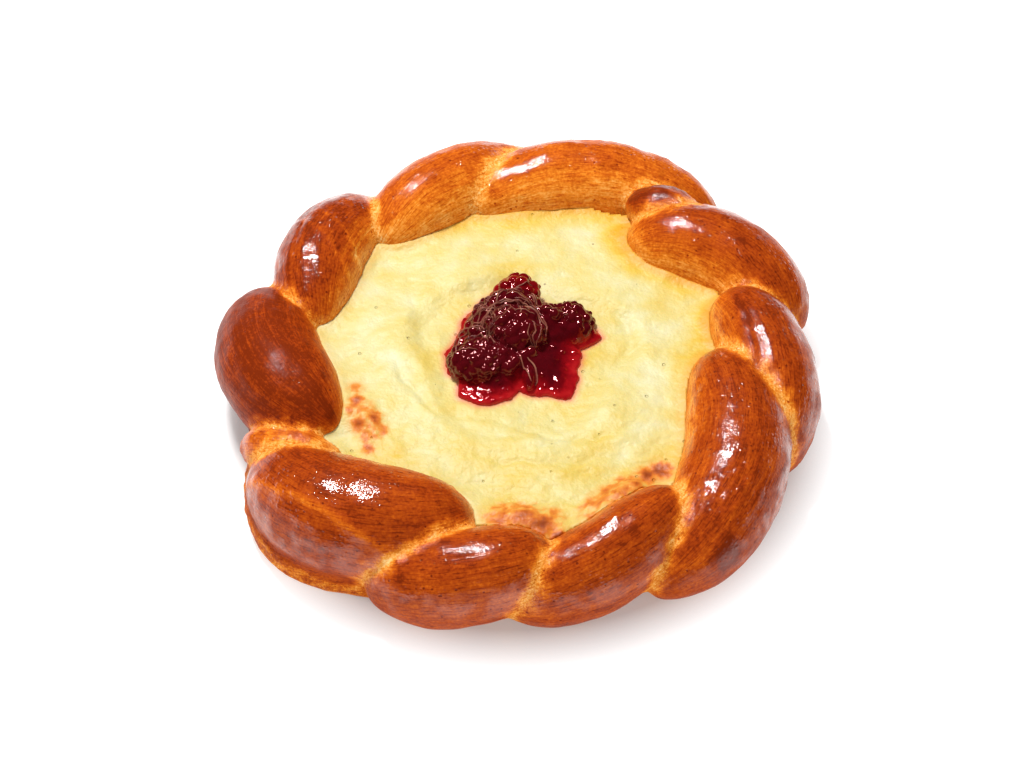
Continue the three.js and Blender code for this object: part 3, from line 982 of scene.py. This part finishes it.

# %% [markdown]
# ## The curd's finish
# Baked curd is pale and soft, with a satin surface. It is more yellow round the jam and towards the rope at
# the back right, where it baked most, and deeper yellow towards the front, which is painted shade where the
# light falls off. Over the three bumps of dough it is toasted brown in patches. Jam has soaked a little way
# into it, which leaves a pink halo. A few dark specks and small open bubbles show. Yellow, toast and halo are
# worked out for each vertex, because they follow places. The specks are a shader pattern.

# %% Curd values
TOASTED = (  # browned patches where the curd lies over the bumps: x, y, size and how brown
    (-34.2, -19.4, 1.6, 0.8), (-30.6, -18.2, 1.8, 0.75), (-34.4, -13.1, 1.5, 0.75), (-32.5, -22.8, 1.2, 0.7),
    (-31.6, -25.4, 1.6, 0.7), (-34.9, -9.6, 2.2, 0.4), (-4.5, -45.0, 2.8, 0.8), (0.4, -44.8, 3.0, 0.85),
    (4.4, -46.6, 3.2, 1.0), (7.4, -49.5, 2.4, 0.95), (28.7, -31.4, 2.4, 1.0), (26.0, -33.0, 2.4, 0.95),
    (23.4, -36.3, 2.2, 0.6), (20.6, -38.9, 2.2, 0.5), (17.6, -41.5, 2.0, 0.45))
places = vertex_array(curd.data, "co")
mm = places / MM
flat = mm - np.array(AXIS) / MM
radius = np.hypot(flat[:, 0], flat[:, 1])
gap = np.array([nearest_gap(Vector(p), rope_shapes, 8 * MM) for p in places]) / MM
turn = np.arctan2(flat[:, 1], flat[:, 0])
deep = 0.5 + 0.5 * np.cos(turn - math.radians(50))  # it baked darkest at the back right
jam_near = np.maximum(jam_gap(flat[:, 0], flat[:, 1]), 0)
yellow = 0.24 + 0.22 * (1 - ease(jam_near, 2, 10)) + 0.7 * deep ** 2 * (1 - ease(gap, 0.5, 8))
# the rise towards the front is painted shade where the light falls off; the noise is the curd's own uneven
# colour
yellow += 0.26 * noise_at(mm, 8, 31) + 0.12 * noise_at(mm, 2.4, 32) + 0.22 * ease(-flat[:, 1], 14, 32)
bump_gap = np.array([nearest_gap(Vector(p), bump_shapes, 8 * MM) for p in places]) / MM
toast = 0.42 * (1 - ease(bump_gap + 0.8 * noise_at(mm, 1.6, 33), 0.3, 3.0))
for x, y, size, browner in TOASTED:
    toast = np.maximum(toast, browner * np.exp(-((flat[:, 0] - x) ** 2 + (flat[:, 1] - y) ** 2) / size ** 2))
toast += ease(toast, 0.05, 0.4) * (0.3 * noise_at(mm, 1.8, 34) + 0.26 * noise_at(mm, 0.8, 35))
keep_values(curd.data, "yellow", np.clip(yellow, 0, 1))
keep_values(curd.data, "stain", np.exp(-jam_near / 0.75))
keep_values(curd.data, "beside", (1 - ease(gap, 0.2, 2.6)) * deep)
keep_values(curd.data, "toast", np.clip(toast, 0, 1))
print("curd values, mean yellow:", round(float(yellow.mean()), 2))

# %% Curd material
curd_look, tree, shader = material("curd")
body_place = make(tree, "TexCoord").outputs["Object"]
soft = placed(tree, grain, {"Vector": body_place, "Coarse": 0.006, "Fine": 0.0012, "Fine share": 0.35})
dots = dotted(tree, body_place, 0.0052, 0.045, 0.3)
bubbles = dotted(tree, body_place, 0.0034, 0.09, 0.3)
depth = total(tree, named(tree, "yellow"), swing(tree, soft.outputs["Blotch"], 0.12), clamp=True)
colour = ramp(tree, depth, [
    (0.0, (202, 196, 152)), (0.3, (200, 186, 120)), (0.7, (200, 170, 66)), (1.0, (198, 150, 24))])
colour = mix(tree, times(tree, named(tree, "beside"), 0.6), colour, screen_colour(208, 140, 52))
baked = named(tree, "toast")
toasted = ramp(tree, baked, [
    (0.1, (206, 162, 74)), (0.4, (206, 128, 42)), (0.65, (186, 94, 22)), (1.0, (138, 58, 12))])
colour = mix(tree, remap(tree, baked, 0.0, 0.4), colour, toasted)
stain = remap(tree, named(tree, "stain"), 0.1, 1.0, 0.0, 0.75)
colour = mix(tree, stain, colour, screen_colour(206, 96, 84))
colour = mix(tree, times(tree, dots, 0.75), colour, screen_colour(120, 84, 52))
tree.links.new(colour, shader.inputs["Base Color"])
set_all_over(shader, Roughness=0.48, Specular_IOR_Level=0.3, Subsurface_Weight=0.1,
             Subsurface_Radius=(1.0, 0.6, 0.25), Subsurface_Scale=0.0015)
height = total(tree, soft.outputs["Height"], times(tree, bubbles, -0.6))
tree.links.new(bumped(tree, height, 0.9, 0.0007), shader.inputs["Normal"])
give_look(curd, curd_look)
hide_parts("curd")
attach(curd, "root")
print("curd:", len(curd.data.polygons), "faces")

# %% [markdown]
# ## The jam
# The jam is a low puddle of fruit pulp with a rounded rim, and soft lumps of broken berry stand in it. A
# fine grid is cut to the outline, lifted to the jam's height, and closed below. Balls of different sizes
# are set in it for the lumps, and one voxel remesh turns all of it into one wet, lumpy skin.

# %% The jam's mesh
JAM_SIDE, JAM_GRID, JAM_SUNK = 44, 0.35, 1.2
JAM_VOXEL, BERRY_VOXEL = 0.24 * MM, 0.22 * MM
SKIN = dict(place=(1.8, -6.3, 16.9), size=(1.5, 4.0, 2.0))
MOUNDS = (  # heaps of broken berry between the whole ones: x, y, radius and height
    (-8.9, 6.2, 4.6, 3.4), (-6.0, 11.4, 4.6, 3.4), (-0.5, 12.0, 4.4, 3.2), (5.6, 9.6, 4.0, 2.4),
    (-3.6, -4.0, 3.6, 2.6), (13.0, 6.6, 3.4, 2.2), (6.2, 6.6, 3.0, 2.6), (11.0, 3.4, 2.6, 1.4),
    (1.0, -3.4, 3.0, 1.6))
LUMP_SEED, LUMPS, SEEDS = 11, 120, 90


def jam_height(x, y):
    """How high the jam stands over the curd, in mm."""
    inside = -float(jam_gap(x, y))
    rise = JAM["edge"] * (1 - math.exp(-max(inside, 0) / 0.45))
    rise += (JAM["middle"] - JAM["edge"]) * smooth_step(inside, 1.5, 10)
    for mound_x, mound_y, wide, tall in MOUNDS:
        heap = math.exp(-((x - mound_x) ** 2 + (y - mound_y) ** 2) / wide ** 2)
        rise += tall * heap * smooth_step(inside, 0.4, 4)
    rise += 0.45 * smooth_step(inside, 1.5, 5) * soft_noise(x / 2.6, y / 2.6, 5)
    return rise + 0.28 * smooth_step(inside, 0.3, 2) * soft_noise(x / 1.2, y / 1.2, 9)


def ball(place, size, name="lump"):
    """A ball at a place from the bun's axis, in mm. size: its radius, or its three half sizes."""
    deselect()
    bpy.ops.mesh.primitive_ico_sphere_add(subdivisions=3, radius=MM, location=AXIS + Vector(place) * MM)
    made = bpy.context.object
    made.name = name
    made.scale = size if isinstance(size, (tuple, list)) else (size, size, size)
    bpy.ops.object.transform_apply(location=True, rotation=True, scale=True)
    return made


jam = cut_sheet("jam_pulp", JAM_SIDE, JAM_GRID, AXIS + Vector((JAM["x"], JAM["y"] + 1, 0)) * MM,
                lambda place: jam_gap(*((place - AXIS).xy / MM)) > 0)
for v in jam.data.vertices:
    x, y = (v.co - AXIS).xy / MM
    v.co.z = (plain_curd(x, y) + 0.1 + jam_height(x, y)) * MM
close_below(jam, CURD["level"] - JAM_SUNK)

dice = np.random.default_rng(LUMP_SEED)
lumps = [ball(SKIN["place"], SKIN["size"])]
while len(lumps) < LUMPS:
    x, y = JAM["x"] + dice.uniform(-16, 17), JAM["y"] + dice.uniform(-11, 18)
    inside = -float(jam_gap(x, y))
    if inside < 1.4 or (x > 2.5 and y < 4.5) or (y < -6.5):
        continue
    size = dice.uniform(0.7, 1.6)
    lumps.append(ball((x, y, plain_curd(x, y) + jam_height(x, y) - 0.3 * size), size))
while len(lumps) < LUMPS + SEEDS:
    x, y = JAM["x"] + dice.uniform(-16, 20), JAM["y"] + dice.uniform(-16, 18)
    if jam_gap(x, y) > -0.5:
        continue
    size = dice.uniform(0.35, 0.6)
    lumps.append(ball((x, y, plain_curd(x, y) + jam_height(x, y) + 0.1 - 0.2 * size), size))
activate(jam, *lumps)
bpy.ops.object.join()
apply_modifier(jam, "REMESH", mode="VOXEL", voxel_size=JAM_VOXEL)
apply_modifier(jam, "SMOOTH", factor=0.5, iterations=2)
print("jam:", len(jam.data.vertices), "vertices")

# %% [markdown]
# ## The berries
# Four cooked berries lie in the jam. Each is an oval core with soft round drupelets over its upper side, one
# golden angle after another, so that they never line up. Smaller beads are scattered between them, where a
# drupelet broke. The berries have sagged, so their sizes and depths differ. Core and drupelets are joined
# and remeshed, which fills the creases between them, as juice does.

# %% The berries' meshes
BERRIES = {
    "berry_middle": dict(place=(-0.9, 3.8, 18.6), size=(7.3, 6.9, 6.2), drupelets=46, drupelet=1.75),
    "berry_left": dict(place=(-8.5, -3.4, 17.6), size=(7.4, 5.8, 4.7), drupelets=70, drupelet=1.15),
    "berry_right": dict(place=(10.3, 8.2, 16.9), size=(5.8, 5.6, 4.5), drupelets=52, drupelet=1.15),
    "berry_back": dict(place=(-0.7, 16.6, 17.7), size=(5.3, 4.8, 4.3), drupelets=22, drupelet=1.6),
}
GOLDEN_ANGLE = math.pi * (3 - math.sqrt(5))
LOWEST_DRUPELET = -0.35  # as a share of the berry's half height


def soft_berry(name, place, size, drupelets, drupelet, seed):
    """A sagging berry: an oval core with drupelets and small beads over it, remeshed to one skin."""
    dice = np.random.default_rng(seed)
    core = ball(place, [half - 0.62 * drupelet for half in size], name)
    one = ball((0, 0, 0), 1, name + "_drupelet")
    beads = []
    for k in range(drupelets):
        height = 1 - (k + 0.5) / drupelets * (1 - LOWEST_DRUPELET)
        turn = k * GOLDEN_ANGLE + dice.normal(0, 0.12)
        out = math.sqrt(1 - height ** 2)
        way = Vector((math.cos(turn) * out, math.sin(turn) * out, height))
        wide = drupelet * dice.uniform(0.78, 1.15)
        sink = dice.uniform(0.8, 1.3)
        bead = one.copy()
        bead.data = one.data.copy()
        bpy.context.collection.objects.link(bead)
        middle = Vector(place) + Vector(way[i] * (size[i] - wide * sink) for i in range(3))
        for v in bead.data.vertices:
            v.co = AXIS + (middle + (v.co - AXIS) / MM * wide) * MM
        beads.append(bead)
    bpy.data.objects.remove(one)
    for k in range(drupelets):
        way = Vector(dice.normal(0, 1, 3)).normalized()
        if way.z > -0.2:
            small_place = Vector(place) + Vector(way[i] * (size[i] - 0.55) for i in range(3))
            beads.append(ball(small_place, dice.uniform(0.45, 0.7)))
    activate(core, *beads)
    bpy.ops.object.join()
    apply_modifier(core, "REMESH", mode="VOXEL", voxel_size=BERRY_VOXEL)
    apply_modifier(core, "SMOOTH", factor=0.5, iterations=2)
    core.name = core.data.name = name + "_soft"
    return core


berries = {name: soft_berry(name, seed=20 + k, **entry) for k, (name, entry) in enumerate(BERRIES.items())}
print("berries:", {name: len(made.data.vertices) for name, made in berries.items()})

# %% [markdown]
# ## The finish of jam and berries
# Jam is clear and wet. Where it is thin the pale curd shines through and it is bright red, and where it is
# thick it is nearly black. It could be made as real red glass, but that is slow and turns the berries grey.
# Here each vertex learns how thick the jam is under it, and a ramp turns that into a red. A strong tinted
# mirror and small bumps give the many bright dots. The berries have the same finish in darker reds.

# %% Jam and berry material
SHALLOW, DEEP_INSIDE = 4.2, 6.5  # mm over the curd, and mm in from the edge, at which the jam is darkest
BACK_BERRY_SHALLOW = 18  # the berry at the back is lit from behind and stays red
for name, made in list(berries.items()) + [("jam", jam)]:
    places = vertex_array(made.data, "co")
    mm = places / MM
    flat = mm - np.array(AXIS) / MM
    over = mm[:, 2] - np.array([plain_curd(x, y) for x, y in flat[:, :2]])
    thick = over / (BACK_BERRY_SHALLOW if name == "berry_back" else SHALLOW)
    if name == "jam":
        thick = np.maximum(thick, -jam_gap(flat[:, 0], flat[:, 1]) / DEEP_INSIDE)
    thick += 0.1 * noise_at(mm, 2.5, 40)
    keep_values(made.data, "thick", np.clip(thick, 0, 1))


def wet_look(name, stops, bead_share):
    """Wet red pulp. stops: its reds from thin to thick. bead_share: how much small beads raise it."""
    look, tree, shader = material(name)
    body_place = make(tree, "TexCoord").outputs["Object"]
    pulp = placed(tree, grain, {"Vector": body_place, "Coarse": 0.0016, "Fine": 0.00045, "Fine share": 0.3})
    uneven = swing(tree, pulp.outputs["Blotch"], 0.14)
    level = total(tree, named(tree, "thick"), uneven, clamp=True)
    tree.links.new(ramp(tree, level, stops), shader.inputs["Base Color"])
    # the tint makes the yellow curd mirror red in it
    set_all_over(shader, Roughness=0.05, Specular_IOR_Level=1.0, Specular_Tint=(0.9, 0.35, 0.35, 1))
    beads = dotted(tree, body_place, 0.0011, 0.3, 0.7)
    wet = total(tree, pulp.outputs["Height"], times(tree, beads, bead_share))
    tree.links.new(bumped(tree, wet, 0.35, 0.00025), shader.inputs["Normal"])
    return look


jam_look = wet_look("jam", [
    (0.0, (166, 30, 30)), (0.25, (146, 14, 20)), (0.5, (112, 7, 14)), (0.8, (80, 5, 12)),
    (1.0, (74, 7, 14))], 0.3)
berry_look = wet_look("berry", [
    (0.0, (146, 14, 20)), (0.3, (104, 7, 13)), (0.7, (60, 4, 10)), (1.0, (74, 8, 14))], 0.5)
for piece, look, slot, node in [(jam, jam_look, "jam", "jam")] + [
        (made, berry_look, "berry", name) for name, made in berries.items()]:
    give_look(piece, look)
    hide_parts(node)
    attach(piece, "root")

# %% [markdown]
# ## The fibres on the berries
# Cooked berries lose their skin, and thin brownish fibres stay wrapped round them, mostly over the middle
# berry and to the left behind it. Each fibre is a short line drawn from above. It is dropped on the berries
# and the jam, drawn as a curve with a round bevel that thins out at its ends, and turned to a mesh.

# %% Fibres
FIBRES = (  # places along each, from the axis
    ((-13.7, -4.2), (-13.6, -1.0), (-12.8, 4.0), (-10.9, 4.5), (-9.3, 4.3)),
    ((-9.3, 4.1), (-8.1, 5.6), (-6.8, 6.8), (-5.8, 8.8)),
    ((-10.9, 7.3), (-9.5, 7.5), (-8.2, 7.6), (-5.5, 8.6), (-2.9, 9.4), (-0.2, 9.2), (1.6, 8.4), (3.4, 6.0),
     (4.9, 3.7)),
    ((-5.8, 8.7), (-3.4, 9.8), (-0.7, 9.1), (1.4, 7.4), (3.5, 5.7), (5.5, 3.0)),
    ((3.5, 5.7), (4.2, 3.5), (4.1, 0.6), (3.2, -1.3), (2.2, -2.6)),
    ((-4.7, 4.9), (-4.5, 7.0), (-2.9, 8.2), (-2.1, 6.4), (-3.4, 4.4)),
    ((-3.9, 12.0), (-5.8, 11.2), (-7.1, 9.9), (-8.5, 7.4), (-9.3, 5.6)),
    ((0.4, 14.4), (-2.1, 13.8), (-4.3, 11.6), (-5.5, 9.1)), ((2.3, 13.4), (3.3, 11.3), (3.9, 8.4)),
    ((2.4, 2.4), (3.1, 1.0), (2.5, -0.5), (3.1, -1.6)), ((-10.3, 5.6), (-8.7, 5.3), (-7.2, 5.6)),
    ((-10.6, 4.7), (-9.0, 4.8), (-7.2, 3.2)), ((-8.7, 3.7), (-7.9, 5.1), (-7.0, 6.1)),
    ((-6.1, 8.6), (-5.4, 7.6), (-6.4, 6.2)), ((-1.3, 9.7), (1.4, 9.6), (3.2, 8.2), (4.4, 5.4)),
    ((-2.3, 7.2), (-1.0, 5.9), (1.1, 5.6), (3.0, 5.2)), ((1.4, 12.4), (2.5, 12.0), (3.1, 9.9)),
    ((4.6, 5.1), (5.4, 3.4), (5.2, 1.2)), ((1.9, 1.6), (1.4, -0.2), (2.3, -1.2), (1.5, -3.0)),
    ((-10.8, 10.2), (-8.7, 11.3), (-6.6, 9.4)), ((-12.4, 7.4), (-11.2, 9.2), (-9.0, 10.2)),
    ((-13.1, -3.4), (-11.5, -3.2), (-9.2, -3.5)), ((-0.2, -3.9), (0.3, -5.3), (1.1, -6.6), (2.2, -9.3)),
    ((1.4, -4.2), (2.8, -5.4), (3.4, -7.6), (3.0, -9.0)),
    ((-15.0, -1.4), (-14.5, 2.0), (-13.0, 5.4), (-11.1, 5.4)),
    ((-11.8, 2.2), (-10.4, 2.9), (-8.6, 2.7), (-7.2, 1.6)), ((-6.4, 4.0), (-6.6, 1.4), (-5.2, -0.8)),
)
LOOSE = ((-9.5, 8.0, 3.6, 16), (-9.0, 2.6, 3.0, 8), (2.6, 6.0, 3.0, 8), (-3.5, 12.0, 2.6, 7))  # small curls
FIBRE_HALF, FIBRE_SEED = 0.2 * MM, 8
wet_shapes = [shape_of(made) for made in [jam] + list(berries.values())]


def drop(x, y):
    """The highest place of jam and berries under a place seen from above, or None."""
    above = AXIS + Vector((x, y, 40)) * MM
    hits = [shape.ray_cast(above, Vector((0, 0, -1)))[0] for shape in wet_shapes]
    return max((hit for hit in hits if hit), key=lambda hit: hit.z, default=None)


def along_line(points, t):
    """A place on a smooth line through the points, t from 0 to 1."""
    points = [Vector(p) for p in points]
    points = [2 * points[0] - points[1]] + points + [2 * points[-1] - points[-2]]
    k = min(int(t * (len(points) - 3)), len(points) - 4)
    u = t * (len(points) - 3) - k
    a, b, c, d = points[k:k + 4]
    place = 2 * b + (c - a) * u + (2 * a - 5 * b + 4 * c - d) * u ** 2
    return 0.5 * (place + (3 * b - a - 3 * c + d) * u ** 3)


line = bpy.data.curves.new("fibres", "CURVE")
line.dimensions = "3D"
line.bevel_depth = FIBRE_HALF
line.bevel_resolution = 2
line.use_fill_caps = True
dice = np.random.default_rng(FIBRE_SEED)
all_fibres = list(FIBRES)
for x, y, spread, number in LOOSE:  # x, y, how far they scatter, and how many
    for k in range(number):
        spot = Vector((x + dice.normal(0, spread / 2), y + dice.normal(0, spread / 2)))
        heading, bend = dice.normal(0.8, 0.7), dice.normal(0, 0.35)
        curl = [spot]
        for step in range(4):
            heading += bend
            curl.append(curl[-1] + Vector((math.cos(heading), math.sin(heading))) * dice.uniform(0.9, 1.6))
        all_fibres.append(tuple(tuple(place) for place in curl))
for points in all_fibres:
    thin = dice.uniform(0.6, 1.15) if points in FIBRES else dice.uniform(0.4, 0.7)
    steps = 8 * len(points)
    found = []
    for k in range(steps + 1):
        x, y = along_line(points, k / steps)
        spot = drop(x + 0.25 * soft_noise(x, y, 5), y + 0.25 * soft_noise(x, y, 6))
        if spot:
            radius = thin * (0.35 + 0.65 * math.sin(math.pi * k / steps) ** 0.5)
            found.append((spot + Vector((0, 0, 0.08 * MM)), radius))
    if len(found) < 3:
        continue
    spline = line.splines.new("POLY")
    spline.points.add(len(found) - 1)
    for point, (spot, radius) in zip(spline.points, found):
        point.co, point.radius = (*spot, 1), radius
fibres = bpy.data.objects.new("fibres", line)
bpy.context.collection.objects.link(fibres)
activate(fibres)
bpy.ops.object.convert(target="MESH")
fibres = bpy.context.object
apply_modifier(fibres, "SMOOTH", factor=0.5, iterations=2)

fibre_look, tree, shader = material("fibre")
strands_noise = placed(tree, grain, {
    "Vector": make(tree, "TexCoord").outputs["Object"], "Coarse": 0.003, "Fine": 0.0008, "Fine share": 0.3})
fibre_colour = ramp(tree, strands_noise.outputs["Blotch"], [
    (0.3, (92, 32, 28)), (0.5, (130, 72, 58)), (0.7, (158, 106, 84))])
tree.links.new(fibre_colour, shader.inputs["Base Color"])
set_all_over(shader, Roughness=0.35, Specular_IOR_Level=0.3)
give_look(fibres, fibre_look)
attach(fibres, "root")
print("fibres:", len(all_fibres), "with", len(fibres.data.polygons), "faces")
